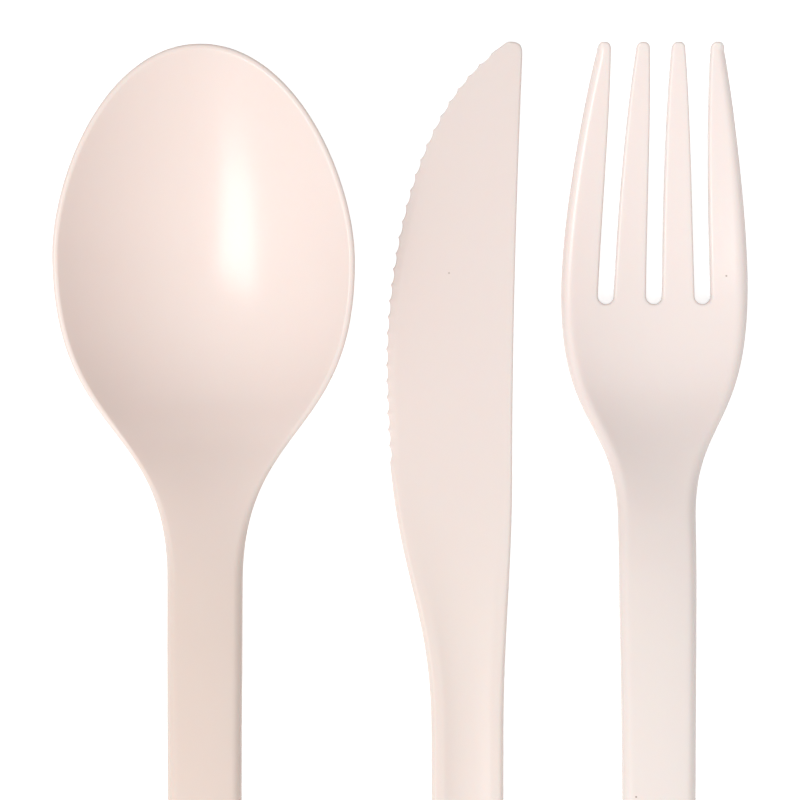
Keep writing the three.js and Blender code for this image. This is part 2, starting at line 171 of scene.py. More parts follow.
def plan(left, right, columns):
    """A grid between two edges. Each is (points, normals, insets, radius), or None on the middle line."""
    blocks = []
    right_rim = right[0][:, None] + right[1][:, None] * right[2][:, ::-1, None]
    inner_right = right_rim[:, 0]
    inner_left = inner_right * (1, 0)
    if left is not None:
        left_rim = left[0][:, None] + left[1][:, None] * left[2][:, :, None]
        inner_left = left_rim[:, -1]
        blocks.append(block(left_rim, left[2], left[3], 0, -1))
    share = np.arange(0 if left is None else 1, columns) / columns
    middle = inner_left[:, None] * (1 - share[:, None]) + inner_right[:, None] * share[:, None]
    blocks.append(block(middle, np.full(middle.shape[:2], FAR_INSIDE), np.zeros(len(middle)), share, 0))
    blocks.append(block(right_rim, right[2][:, ::-1], right[3], 1, 1))
    return np.concatenate(blocks, axis=1)


print("An edge of 1 mm radius has columns at", EDGE_STEPS.tolist(), "mm")

# %% [markdown]
# ## From a grid to a closed skin
#
# The same grid serves as top and underside. Their points differ only in the level that they
# remember, 1 for the top and 0 for the underside, and a wall with levels between them closes the
# skin along each real edge. Parts that meet are welded where their points coincide.

# %% Skins
WALL_LEVELS = (0.75, 0.5, 0.25)
WELD_STEPS_PER_MM = 1e4


def shell(grid, left_edge, right_edge):
    """The grid as a top and an underside, joined by a wall along the edges that are real edges."""
    rows, columns, _ = grid.shape
    flat = grid.reshape(-1, grid.shape[2])
    count = rows * columns
    index = np.arange(count).reshape(rows, columns)
    a, b, c, d = index[:-1, :-1], index[:-1, 1:], index[1:, 1:], index[1:, :-1]
    top = np.stack([a, d, c, b], -1).reshape(-1, 4)
    below = np.stack([a, b, c, d], -1).reshape(-1, 4) + count
    points = [np.column_stack([flat, np.ones(count)]), np.column_stack([flat, np.zeros(count)])]
    faces = [top, below]
    for column, is_edge in ((0, left_edge), (columns - 1, right_edge)):
        if not is_edge:
            continue
        ladder = [index[:, column]]
        for level in WALL_LEVELS:
            start = sum(len(part) for part in points)
            points.append(np.column_stack([grid[:, column], np.full(rows, level)]))
            ladder.append(np.arange(start, start + rows))
        ladder.append(index[:, column] + count)
        for upper, lower in zip(ladder, ladder[1:]):
            quad = [upper[:-1], upper[1:], lower[1:], lower[:-1]]
            faces.append(np.stack(quad if column else quad[::-1], -1))
    return np.vstack(points), np.vstack(faces)


def mirrored(part):
    """The same part on the other side of the middle line, with its faces still pointing outwards."""
    points, faces = part
    other = points.copy()
    other[:, 1] *= -1
    return other, faces[:, ::-1]


def weld(parts):
    """Joins parts that share their seam points, and drops faces that have shrunk to a line."""
    points = np.vstack([part_points for part_points, _ in parts])
    starts = np.cumsum([0] + [len(part_points) for part_points, _ in parts[:-1]])
    faces = np.vstack([part_faces + start for (_, part_faces), start in zip(parts, starts)])
    keys = np.round(points[:, [0, 1, -1]] * WELD_STEPS_PER_MM).astype(np.int64)
    _, first, same = np.unique(keys, axis=0, return_index=True, return_inverse=True)
    rings = []
    for face in same.ravel()[faces].tolist():
        ring = [corner for place, corner in enumerate(face) if corner != face[place - 1]]
        if len(ring) > 2 and len(set(ring)) == len(ring):
            rings.append(ring)
    return dict(zip(FIELDS, points[first].T)), rings


print("A wall stands in", len(WALL_LEVELS) + 1, "steps between the top and the underside")

# %% [markdown]
# ## Heights
#
# Each piece has a rule for its top face. The underside is the same face moved down by the wall,
# thicker where the face is steep, so that the wall measured square to it stays the same. The
# handles of the spoon and fork are cored out below: a thin skin between two flanges, which saves
# plastic and keeps it from sinking as it cools.

# %% What the handles share
HANDLE_END_HALF = 6.4
HANDLE_END_RISE = 1.5
HANDLE_CROWN = 0.35
HANDLE_SKIN = 1.3
HANDLE_RADIUS = 1.2
WAIST_SHARE = 0.35
NECK_REACH = (8, 12)
HANDLE_REACH = (25, 20)
FLANGE_DEPTH = 3.0
FLANGE_WALL = 1.5
FLANGE_DRAFT = 0.4
FLANGE_RUN_IN = 14
FOOT_RADIUS = 0.25
EDGE_FULLNESS = 1.7
SLOPE_STEP = 0.05


def handle_edge(neck, neck_half, waist_half, length):
    """From the neck to the far end, which is a full round."""
    end = length - HANDLE_END_HALF
    waist = mix(neck, end, WAIST_SHARE)
    sine, cosine = quarter(60)
    return chain(
        swing((neck, neck_half), (waist, waist_half), *NECK_REACH),
        swing((waist, waist_half), (end, HANDLE_END_HALF), *HANDLE_REACH),
        np.column_stack([end + HANDLE_END_HALF * sine, HANDLE_END_HALF * cosine]),
    )


def side_line(length, tip, lead, low, arch, reach):
    """The middle line seen from the side: down from the tip, up into the arch, down to the end.

    reach holds the lengths of the curves' handles: before and after the low point, before and
    after the arch, and before the end.
    """
    before_low, after_low, before_arch, after_arch, before_end = reach
    fall = cubic(tip, lead, (low[0] - before_low, low[1]), low)
    rise = swing(low, arch, after_low, before_arch)
    over_arch = (arch[0] + after_arch, arch[1])
    last_fall = cubic(
        arch, over_arch, (length - before_end, FLANGE_DEPTH + HANDLE_END_RISE), (length, FLANGE_DEPTH)
    )
    return reader(chain(fall, rise, last_fall))


def rounding(inset, radius):
    """How far an eased edge lies below the face. It starts crisply, slopes, and then turns down."""
    reach = np.clip(1 - inset / np.maximum(radius, 1e-9), 0, 1)
    return radius * (1 - (1 - reach**EDGE_FULLNESS) ** (1 / EDGE_FULLNESS))


def drops(points, top, wall, flange, rim):
    """For every point of a welded plan, how far it lies below the top face."""
    station, offset = points["station"], points["offset"]
    slope = np.sqrt(
        1
        + ((top(station, offset + SLOPE_STEP) - top(station, offset - SLOPE_STEP)) / (2 * SLOPE_STEP)) ** 2
        + ((top(station + SLOPE_STEP, offset) - top(station - SLOPE_STEP, offset)) / (2 * SLOPE_STEP)) ** 2
    )
    under = wall(station) * slope
    foot = mix(under, top(station, offset) - rim(station) + FLANGE_DEPTH, flange(station))
    ceiling = smooth(points["inset"], FLANGE_WALL, FLANGE_WALL + FLANGE_DRAFT)
    upper = rounding(points["inset"], points["radius"])
    lower = mix(foot, under, ceiling * flange(station)) - rounding(points["inset"], FOOT_RADIUS)
    return mix(lower, upper, points["level"])


def as_mesh(name, points, rings, heights, tip):
    """Writes a mesh in metres, with the tip of the piece at this x and y of the frame."""
    mesh = bpy.data.meshes.new(name)
    across, away = points["offset"] * MM + tip[0], tip[1] - points["station"] * MM
    mesh.from_pydata(np.column_stack([across, away, heights * MM]).tolist(), [], rings)
    mesh.validate()
    return mesh


cored_width = 2 * (HANDLE_END_HALF - FLANGE_WALL)
print("Flanges of", FLANGE_WALL, "mm leave", cored_width, "mm of cored width at the end")

# %% [markdown]
# ## Nodes and colours
#
# One small function adds a node to any tree, with its settings, its values and its links, and
# another turns a colour as it is written in sRGB into the linear light that Blender works in.

# %% Node and colour helpers
def add(tree, kind, inputs=None, **settings):
    node = tree.nodes.new(kind)
    for name, value in settings.items():
        setattr(node, name, value)
    for key, value in (inputs or {}).items():
        socket = node.inputs[key]
        if isinstance(value, bpy.types.NodeSocket):
            tree.links.new(value, socket)
        else:
            socket.default_value = value
    return node


def linear(hex_colour):
    """sRGB hex to the linear values that Blender's colour sockets take."""
    coded = np.array([int(hex_colour[i : i + 2], 16) / 255 for i in (0, 2, 4)])
    return (*np.where(coded <= 0.04045, coded / 12.92, ((coded + 0.055) / 1.055) ** 2.4), 1.0)


print("A middle grey in linear light:", [round(float(value), 3) for value in linear("808080")])

# %% [markdown]
# ## The plastic
#
# The pieces are crystal polystyrene with pigment, moulded against polished steel. It is hard and
# glossy, with an index of 1.59, and a little light travels into it before it comes out again,
# which warms the shadows. The colour is painted darker on the spoon's side of the set and paler on
# the fork's side, a little different in the heads and in the handles: painted shade and painted
# light that stand in for uneven light across the set. Pigment is never perfectly even, so a very
# faint cloud runs through the colour. Here and there a speck of dark regrind shows. Real specks
# are finer than a pixel here, so they are drawn as coarse as they need to be seen.

# %% Polystyrene
# Painted shade and light: darker colours for the spoon's side of the set and paler ones for the fork's side,
# each for the head and for the handle.
SHADED_SIDE_HEAD = "F2E0D8"
SHADED_SIDE_HANDLE = "ECD9CD"
LIT_SIDE_HEAD = "F8EAE5"
LIT_SIDE_HANDLE = "FBEFEA"
SHADE_ACROSS_MM = (-30, 36)
SHADE_ALONG_MM = (20, 50)
CLOUD_SHARE = 0.2
CLOUD_SIZE_MM = 25
SPECK = "A08878"
SPECK_SHARE = 0.8
SPECK_SPACING_MM = 9
SPECK_CORE_MM = 0.072
SPECK_EDGE_MM = 0.18
RIPPLE_SIZE_MM = 6
RIPPLE_HEIGHT_MM = 0.2
RIPPLE_STRENGTH = 0.02
GLOSS_ROUGHNESS = 0.25
POLYSTYRENE_IOR = 1.59
SCATTER_SHARE = 0.25
SCATTER_DEPTH_MM = 1.5
SCATTER_BY_COLOUR = (1.0, 0.6, 0.45)


def polystyrene(name):
    material = bpy.data.materials.new(name)
    material.use_nodes = True
    tree = material.node_tree
    tree.nodes.clear()
    place = add(tree, "ShaderNodeTexCoord").outputs["Object"]
    axes = add(tree, "ShaderNodeSeparateXYZ", {"Vector": place}).outputs
    # How far across and along the set a point lies, which sets how much painted shade or painted light its
    # colour gets.
    across, along = [
        add(
            tree,
            "ShaderNodeMapRange",
            {"Value": axes[axis], "From Min": span[0] * MM, "From Max": span[1] * MM},
        ).outputs["Result"]
        for axis, span in (("X", SHADE_ACROSS_MM), ("Y", SHADE_ALONG_MM))
    ]
    deep, pale = [
        add(
            tree, "ShaderNodeMix", {"Factor": along, 6: linear(handle), 7: linear(head)}, data_type="RGBA"
        ).outputs[2]
        for handle, head in ((SHADED_SIDE_HANDLE, SHADED_SIDE_HEAD), (LIT_SIDE_HANDLE, LIT_SIDE_HEAD))
    ]
    cloud = add(
        tree, "ShaderNodeTexNoise", {"Vector": place, "Scale": 1 / (CLOUD_SIZE_MM * MM), "Detail": 2.0}
    ).outputs["Fac"]
    # Mostly the painted shade and light across the set, with a little of the cloud of uneven pigment.
    shade_and_cloud = add(
        tree, "ShaderNodeMix", {"Factor": CLOUD_SHARE, 2: across, 3: cloud}, data_type="FLOAT"
    ).outputs[0]
    # The colour with its painted shade and painted light.
    shaded_tint = add(tree, "ShaderNodeMix", {"Factor": shade_and_cloud, 6: deep, 7: pale}, data_type="RGBA").outputs[2]
    from_speck = add(
        tree,
        "ShaderNodeTexVoronoi",
        {"Vector": place, "Scale": 1 / (SPECK_SPACING_MM * MM), "Randomness": 1.0},
    ).outputs["Distance"]
    speck = add(
        tree,
        "ShaderNodeMapRange",
        {
            "Value": from_speck,
            "From Min": SPECK_CORE_MM / SPECK_SPACING_MM,
            "From Max": SPECK_EDGE_MM / SPECK_SPACING_MM,
            "To Min": SPECK_SHARE,
            "To Max": 0.0,
        },
    ).outputs["Result"]
    colour = add(tree, "ShaderNodeMix", {"Factor": speck, 6: shaded_tint, 7: linear(SPECK)}, data_type="RGBA")
    ripple = add(
        tree, "ShaderNodeTexNoise", {"Vector": place, "Scale": 1 / (RIPPLE_SIZE_MM * MM), "Detail": 1.0}
    ).outputs["Fac"]
    bump = add(
        tree,
        "ShaderNodeBump",
        {"Height": ripple, "Strength": RIPPLE_STRENGTH, "Distance": RIPPLE_HEIGHT_MM * MM},
    )
    surface = add(
        tree,
        "ShaderNodeBsdfPrincipled",
        {
            "Base Color": colour.outputs[2],
            "Roughness": GLOSS_ROUGHNESS,
            "IOR": POLYSTYRENE_IOR,
            "Subsurface Weight": SCATTER_SHARE,
            "Subsurface Radius": SCATTER_BY_COLOUR,
            "Subsurface Scale": SCATTER_DEPTH_MM * MM,
            "Normal": bump.outputs["Normal"],
        },
    )
    add(tree, "ShaderNodeOutputMaterial", {"Surface": surface.outputs["BSDF"]})
    return material


plastic = polystyrene("blush_polystyrene")
print("The plastic has", len(plastic.node_tree.nodes), "nodes")

# %% [markdown]
# ## Finishing a piece
#
# A moulding has no seams, so its mesh must be one closed skin. Each piece is checked for open
# edges, shaded smooth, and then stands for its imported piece.

# %% Finish helper
SHARP_DEGREES = 35
CM3_PER_M3 = 1e6


def finish_piece(name, mesh, node):
    """Checks that a skin is closed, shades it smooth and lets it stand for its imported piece."""
    form = bmesh.new()
    form.from_mesh(mesh)
    open_edges = sum(not edge.is_manifold for edge in form.edges)
    volume = form.calc_volume(signed=True) * CM3_PER_M3
    form.free()
    obj = bpy.data.objects.new(name, mesh)
    bpy.context.scene.collection.objects.link(obj)
    mesh.materials.clear()
    mesh.materials.append(plastic)
    mesh.shade_smooth()
    mesh.set_sharp_from_angle(angle=np.radians(SHARP_DEGREES))
    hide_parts(node)
    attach(obj, "root")
    print(f"{name}: {len(mesh.polygons)} faces, {open_edges} open edges, {volume:.2f} cm3")


print("Edges sharper than", SHARP_DEGREES, "degrees stay crisp")

# %% [markdown]
# ## The spoon
#
# The outline is flat at first. A Geometry Nodes tree then presses it into the bowl, the way a
# rule of thumb for a dish says: the depth at a point grows with how far it lies inside the rim,
# half width squared less distance across squared. On an oval outline this gives an oval dish.
# It runs out at the inner edge of a narrow level lip, with the corner a little eased, as a
# polished mould leaves it. Down the handle the dish fades into a faint crown.

# %% Spoon sizes
SPOON_LENGTH = 178
SPOON_LEAN = 0.0045
BOWL_HALF = 20.7
BOWL_WIDEST = 29
BOWL_DEPTH = 9.7
BOWL_WALL = 1.25
BOWL_SEAT = 1.83
BOWL_FADE = (47, 74)
BOWL_TIP_LEAD = 12.9
BOWL_TIP_TRAIL = 11
BOWL_NECK_REACH = (24.7, 22)
LIP_WIDTH = 0.75
LIP_RADIUS = 0.4
LIP_SOFTNESS = 0.1
SPOON_NECK = 73
SPOON_NECK_HALF = 5.16
SPOON_WAIST_HALF = 5.0
SPOON_TIP_RISE = 5.6
SPOON_TIP_LEAD = 18
SPOON_TIP_LEAD_SHARE = 0.45
SPOON_DIP = 4.3
SPOON_DIP_STATION = 53
SPOON_ARCH_RISE = 3.6
SPOON_ARCH_STATION = 112
SPOON_SIDE_REACH = (14, 7, 33, 30, 12)

spoon_edge = chain(
    cubic((0, 0), (0, BOWL_TIP_LEAD), (BOWL_WIDEST - BOWL_TIP_TRAIL, BOWL_HALF), (BOWL_WIDEST, BOWL_HALF)),
    swing((BOWL_WIDEST, BOWL_HALF), (SPOON_NECK, SPOON_NECK_HALF), *BOWL_NECK_REACH),
    handle_edge(SPOON_NECK, SPOON_NECK_HALF, SPOON_WAIST_HALF, SPOON_LENGTH),
)
rim_level = BOWL_DEPTH + BOWL_WALL + BOWL_SEAT
spoon_side = side_line(
    SPOON_LENGTH,
    tip=(0, rim_level + SPOON_TIP_RISE),
    lead=(SPOON_TIP_LEAD, rim_level + SPOON_TIP_RISE * SPOON_TIP_LEAD_SHARE),
    low=(SPOON_DIP_STATION, rim_level - SPOON_DIP),
    arch=(SPOON_ARCH_STATION, rim_level + SPOON_ARCH_RISE),
    reach=SPOON_SIDE_REACH,
)
print("The spoon's rim is", rim_level + SPOON_TIP_RISE, "mm high at the tip")

# %% [markdown]
# The half outline is read back as a half width for each station. At the tip and the end it turns
# too sharply for that, so the grid walks along the outline itself. Past the rounding, the columns
# crowd together where the lip ends in the bowl and where a flange stands below the handle.

# %% Flat spoon blank
SPOON_STEP = 0.5
SPOON_TIP_RUN = 8
SPOON_COLUMNS = 30
LEAST_HALF = 1.0
NO_HALF = 0.001
LIP_STEPS = LIP_WIDTH - LIP_RADIUS + np.array([-0.25, -0.13, -0.05, 0.03, 0.11, 0.23, 0.45])
FLANGE_STEPS = FLANGE_WALL + np.array([-0.15, 0, 0.05, 0.13, 0.27, FLANGE_DRAFT, 0.8])

spoon_half = reader(spoon_edge)
lip_line = spoon_edge + inward(spoon_edge, 1) * LIP_WIDTH
lip_half = reader(np.vstack([[LIP_WIDTH, 0], lip_line[lip_line[:, 0] > LIP_WIDTH]]))


def lip_insets(radius, flange):
    """Distances in from the edge: over the rounding, then over the lip's crease or the flange's foot."""
    over_lip = radius[:, None] + LIP_STEPS[None]
    return np.hstack([radius[:, None] * EDGE_STEPS[None], mix(over_lip, FLANGE_STEPS[None], flange[:, None])])


def bowlness(station):
    return 1 - smooth(station, *BOWL_FADE)


def dish_half(station):
    """Half width of the dish, which ends at the inner edge of the lip."""
    return mix(spoon_half(station), lip_half(station), bowlness(station))


def spoon_top(station, offset):
    widest = BOWL_HALF - LIP_WIDTH
    inside = dish_half(station) ** 2 - offset**2
    eased = (inside + np.sqrt(inside**2 + (widest * LIP_SOFTNESS) ** 2)) / 2
    dish = BOWL_DEPTH * eased / widest**2 * bowlness(station)
    bulge = 1 - (offset / np.maximum(spoon_half(station), LEAST_HALF)) ** 2
    return spoon_side(station) - dish + HANDLE_CROWN * (1 - bowlness(station)) * bulge


def spoon_flange(station):
    return smooth(station, SPOON_NECK, SPOON_NECK + FLANGE_RUN_IN)


def spoon_wall(station):
    return mix(HANDLE_SKIN, BOWL_WALL, bowlness(station))


spoon_points = spaced(spoon_edge, SPOON_STEP, SPOON_TIP_RUN)
spoon_points[0, 1] = spoon_points[-1, 1] = 0
spoon_normals = inward(spoon_points, 1)
spoon_normals[0], spoon_normals[-1] = (1, 0), (-1, 0)
spoon_radius = mix(HANDLE_RADIUS, LIP_RADIUS, bowlness(spoon_points[:, 0]))
spoon_insets = lip_insets(spoon_radius, spoon_flange(spoon_points[:, 0]))
spoon_grid = plan(None, (spoon_points, spoon_normals, spoon_insets, spoon_radius), SPOON_COLUMNS)
half_spoon = shell(spoon_grid, False, True)
spoon_plan, spoon_rings = weld([half_spoon, mirrored(half_spoon)])
spoon_drop = drops(spoon_plan, spoon_top, spoon_wall, spoon_flange, spoon_side)
print("Spoon blank:", len(spoon_rings), "faces")

# %% [markdown]
# The press is a table of steps, and each step becomes one Math node. The blank carries what the
# steps need at each point: the half widths of the piece and of the dish there, the height of the
# rim, how much of a bowl it is, how far across the point lies, and how far it lies below the
# pressed face.

# %% Press tree
PRESS_STEPS = [
    ("half2", "MULTIPLY", "half", "half"),
    ("across2", "MULTIPLY", "across", "across"),
    ("dish half2", "MULTIPLY", "dish half", "dish half"),
    ("inside", "SUBTRACT", "dish half2", "across2"),
    ("inside2", "MULTIPLY", "inside", "inside"),
    ("softness", "MULTIPLY", "Dish half width", "Lip softness"),
    ("softness2", "MULTIPLY", "softness", "softness"),
    ("soft sum", "ADD", "inside2", "softness2"),
    ("soft root", "SQRT", "soft sum"),
    ("twice", "ADD", "inside", "soft root"),
    ("eased", "MULTIPLY", "twice", 0.5),
    ("widest2", "MULTIPLY", "Dish half width", "Dish half width"),
    ("share", "DIVIDE", "eased", "widest2"),
    ("deep", "MULTIPLY", "share", "Dish depth"),
    ("dish", "MULTIPLY", "deep", "bowl"),
    ("flat", "SUBTRACT", 1.0, "bowl"),
    ("bulge", "DIVIDE", "across2", "half2"),
    ("crest", "SUBTRACT", 1.0, "bulge"),
    ("crowned", "MULTIPLY", "crest", "Handle crown"),
    ("crown", "MULTIPLY", "crowned", "flat"),
    ("sunk", "SUBTRACT", "rim", "dish"),
    ("face", "ADD", "sunk", "crown"),
    ("height", "SUBTRACT", "face", "drop"),
]


def rule_tree(name, sizes, attributes, rule):
    """A tree with a mesh, sizes and a material going in, and a rule worked out for every point.

    Each step of the rule is a result, an operation and the terms that it works on.
    """
    tree = bpy.data.node_groups.new(name, "GeometryNodeTree")
    face = tree.interface
    face.new_socket("Geometry", in_out="INPUT", socket_type="NodeSocketGeometry")
    for size in sizes:
        face.new_socket(size, in_out="INPUT", socket_type="NodeSocketFloat")
    face.new_socket("Material", in_out="INPUT", socket_type="NodeSocketMaterial")
    face.new_socket("Geometry", in_out="OUTPUT", socket_type="NodeSocketGeometry")
    terms = {socket.name: socket for socket in add(tree, "NodeGroupInput").outputs}
    for attribute, kind in attributes.items():
        reading = add(tree, "GeometryNodeInputNamedAttribute", {"Name": attribute}, data_type=kind)
        terms[attribute] = reading.outputs["Attribute"]
    for result, operation, *inputs in rule:
        sockets = {place: terms.get(term, term) for place, term in enumerate(inputs)}
        terms[result] = add(tree, "ShaderNodeMath", sockets, operation=operation).outputs[0]
    return tree, terms


def end_tree(tree, terms, shift):
    """Moves every point by the shift, and ends the tree as the export needs it."""
    moved = add(tree, "GeometryNodeSetPosition", {"Geometry": terms["Geometry"], "Offset": shift})
    real = add(tree, "GeometryNodeRealizeInstances", {"Geometry": moved.outputs[0]})
    dressed = add(
        tree, "GeometryNodeSetMaterial", {"Geometry": real.outputs[0], "Material": terms["Material"]}
    )
    add(tree, "NodeGroupOutput", {"Geometry": dressed.outputs[0]})


press, press_terms = rule_tree(
    "press_bowl",
    ("Dish depth", "Dish half width", "Lip softness", "Handle crown"),
    {name: "FLOAT" for name in ("half", "dish half", "rim", "bowl", "drop", "across")},
    PRESS_STEPS,
)
end_tree(press, press_terms, add(press, "ShaderNodeCombineXYZ", {"Z": press_terms["height"]}).outputs[0])
print("The press tree has", len(press.nodes), "nodes")

# %% [markdown]
# The spoon's place comes from its packed box: the tip is at the far side, and the left edge of
# the bowl is the box's left side. It lies a little askew, so the flat blank is turned about its
# tip first. Then it is pressed and let down until it stands on the table.

# %% Press the spoon
def turn_plan(points, lean):
    """Turns a plan about its tip by an angle in radians, and keeps where its points lay before."""
    station, offset = points["station"], points["offset"]
    points["flat_station"], points["flat_offset"] = station, offset
    points["offset"] = offset * np.cos(lean) + station * np.sin(lean)
    points["station"] = station * np.cos(lean) - offset * np.sin(lean)


def store(mesh, name, values):
    """Keeps a number for each point of a mesh, for a tree to read."""
    mesh.attributes.new(name, "FLOAT", "POINT").data.foreach_set("value", np.asarray(values, np.float32))


def pressed(blank, tree, sizes):
    """Runs a tree on a blank with these sizes, and gives back the result as a plain mesh."""
    values = {"Material": plastic, **sizes}
    workpiece = bpy.data.objects.new(blank.name, blank)
    bpy.context.scene.collection.objects.link(workpiece)
    modifier = workpiece.modifiers.new(tree.name, "NODES")
    modifier.node_group = tree
    for item in tree.interface.items_tree:
        if item.item_type == "SOCKET" and item.in_out == "INPUT" and item.name in values:
            modifier[item.identifier] = values[item.name]
    bpy.context.view_layer.update()
    graph = bpy.context.evaluated_depsgraph_get()
    mesh = bpy.data.meshes.new_from_object(workpiece.evaluated_get(graph))
    workpiece.modifiers.remove(modifier)
    bpy.data.objects.remove(workpiece)
    return mesh


spoon_low, spoon_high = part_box("spoon")
spoon_tip = (spoon_low[0] + (BOWL_HALF - SPOON_LEAN * BOWL_WIDEST) * MM, spoon_high[1])
turn_plan(spoon_plan, SPOON_LEAN)
flat_station = spoon_plan["flat_station"]
spoon_blank = as_mesh("spoon_blank", spoon_plan, spoon_rings, np.zeros_like(spoon_drop), spoon_tip)
store(spoon_blank, "half", np.maximum(spoon_half(flat_station), NO_HALF) * MM)
store(spoon_blank, "rim", spoon_side(flat_station) * MM)
store(spoon_blank, "bowl", bowlness(flat_station))
store(spoon_blank, "drop", spoon_drop * MM)
store(spoon_blank, "across", spoon_plan["flat_offset"] * MM)
store(spoon_blank, "dish half", dish_half(flat_station) * MM)
spoon_mesh = pressed(
    spoon_blank,
    press,
    {
        "Dish depth": BOWL_DEPTH * MM,
        "Dish half width": (BOWL_HALF - LIP_WIDTH) * MM,
        "Lip softness": LIP_SOFTNESS * MM,
        "Handle crown": HANDLE_CROWN * MM,
    },
)
lowest = min(vertex.co.z for vertex in spoon_mesh.vertices)
for vertex in spoon_mesh.vertices:
    vertex.co.z -= lowest
finish_piece("moulded_spoon", spoon_mesh, "spoon")
print("Pressed, and let down by", round(lowest / MM, 3), "mm")

# %% [markdown]
# ## The fork
#
# The fork is the same kind of shell with three slots in it. Each tine is a strip of its own, with
# a rounded edge on both sides. The strips end at the roots of the slots, and the head, the neck
# and the handle go on from there as one strip. All of it is worked out for the right-hand half
# and mirrored.

# %% Fork sizes
FORK_LENGTH = 184
HEAD_HALF = 12.99
HEAD_WIDEST = 33.8
HEAD_THICKNESS = 2.2
HEAD_RADIUS = 1.5
HEAD_DISH = 1.7
HEAD_DISH_START = -12
HEAD_DISH_STATION = 46
HEAD_LEAD = (1.5, 0.5)
HEAD_TRAIL = 12.4
HEAD_NECK_REACH = (18.8, 13.8)
FORK_NECK = 65.2
FORK_NECK_HALF = 5.38
FORK_WAIST_HALF = 5.0
FORK_HANDLE_FADE = (FORK_NECK - 6, FORK_NECK + 8)
FORK_HEAD_HEIGHT = 3.96
FORK_LOW_STATION = 42
FORK_ARCH_RISE = 9.2
FORK_ARCH_STATION = 108
FORK_SIDE_REACH = (19, 16, 48, 36, 14)
TINE_LENGTH = 35.2
TINE_THICKNESS = 1.7
TINE_RADIUS = 1.15
TINE_RISE = 12.4
TINE_LEAD = 10
TINE_LEAD_SHARE = 0.62
TINE_TIP_WIDTH = 1.85
TINE_TIP_ROUND = 1.1
TINE_TIP_SQUARENESS = 0.78
INNER_TINE_ROOT = 4.46
SLOT_WIDTH = 2.28
SLOT_RADIUS = 0.35
SLOT_REACH = (8, 12)
MIDDLE_MOUTH = 2.95
OUTER_MOUTH = 3.45
MIDDLE_SWELL = -0.475
NEAR_SWELL = 1.05
FAR_SWELL = -0.15
ROOT_LEAN = 0.5

inner_mouth = MIDDLE_MOUTH / 2
inner_tip = inner_mouth + TINE_TIP_WIDTH / 2
near_mouth = inner_mouth + TINE_TIP_WIDTH
far_mouth = near_mouth + OUTER_MOUTH
outer_tip = far_mouth + TINE_TIP_WIDTH / 2
outer_mouth = outer_tip + TINE_TIP_WIDTH / 2
slot_half = SLOT_WIDTH / 2
near_root = slot_half + INNER_TINE_ROOT
far_root = near_root + SLOT_WIDTH
slot_centre = near_root + slot_half
root_centre = TINE_LENGTH - slot_half

head_edge = chain(
    cubic(
        (TINE_TIP_ROUND, outer_mouth),
        (TINE_TIP_ROUND + HEAD_LEAD[0], outer_mouth + HEAD_LEAD[1]),
        (HEAD_WIDEST - HEAD_TRAIL, HEAD_HALF),
        (HEAD_WIDEST, HEAD_HALF),
    ),
    swing((HEAD_WIDEST, HEAD_HALF), (FORK_NECK, FORK_NECK_HALF), *HEAD_NECK_REACH),
    handle_edge(FORK_NECK, FORK_NECK_HALF, FORK_WAIST_HALF, FORK_LENGTH),
)
fork_half = reader(np.vstack([[0, outer_tip], head_edge]))
fork_side = side_line(
    FORK_LENGTH,
    tip=(0, FORK_HEAD_HEIGHT + TINE_RISE),
    lead=(TINE_LEAD, FORK_HEAD_HEIGHT + TINE_RISE * TINE_LEAD_SHARE),
    low=(FORK_LOW_STATION, FORK_HEAD_HEIGHT),
    arch=(FORK_ARCH_STATION, FORK_HEAD_HEIGHT + FORK_ARCH_RISE),
    reach=FORK_SIDE_REACH,
)


def handleness(station):
    return smooth(station, *FORK_HANDLE_FADE)


def fork_flange(station):
    return smooth(station, FORK_NECK, FORK_NECK + FLANGE_RUN_IN)


def fork_top(station, offset):
    bulge = 1 - (offset / np.maximum(fork_half(station), LEAST_HALF)) ** 2
    dish = HEAD_DISH * smooth(station, HEAD_DISH_START, HEAD_DISH_STATION)
    dish = dish * (1 - smooth(station, HEAD_DISH_STATION, FORK_NECK))
    return fork_side(station) + (HANDLE_CROWN * handleness(station) - dish) * bulge


def fork_wall(station):
    head_wall = mix(TINE_THICKNESS, HEAD_THICKNESS, smooth(station, 0, TINE_LENGTH))
    return mix(head_wall, HANDLE_SKIN, handleness(station))


print("Tines are", TINE_TIP_WIDTH, "mm wide at the tip and", INNER_TINE_ROOT, "mm at the root")

# %% [markdown]
# Both sides of a tine are walked in the same three stretches, with the same number of steps: the
# rounded tip, the long side, and the quarter turn round the root of the slot. The outer side of
# the outer tine has no root to turn round, so its last stretch simply runs level with it. There
# the rounding grows from the fine one of a slot to the full one of the head.

# %% Tine strips
TIP_ROWS, SIDE_ROWS, ROOT_ROWS = 14, 84, 14
TIP_BLEND_ROWS = 20
TINE_COLUMNS = 14
PAST_STEPS = np.array([1.25, 1.5, 1.75, 2.0])
FORK_FLANGE_STEPS = FLANGE_WALL + np.array([0, 0.08, FLANGE_DRAFT, FLANGE_DRAFT + 0.4])


def rounded_tip(tip, mouth):
    """From the very tip of a tine to its side, a little squarer than a quarter of an ellipse."""
    sine, cosine = quarter(80)
    down, out = cosine**TINE_TIP_SQUARENESS, sine**TINE_TIP_SQUARENESS
    return np.column_stack([TINE_TIP_ROUND * (1 - down), mix(tip, mouth, out)])


def rounded_root(centre, side):
    """A quarter of the slot's round end, from the slot's side to its deepest point."""
    sine, cosine = quarter(40)
    return np.column_stack([root_centre + slot_half * sine, centre + side * slot_half * cosine])


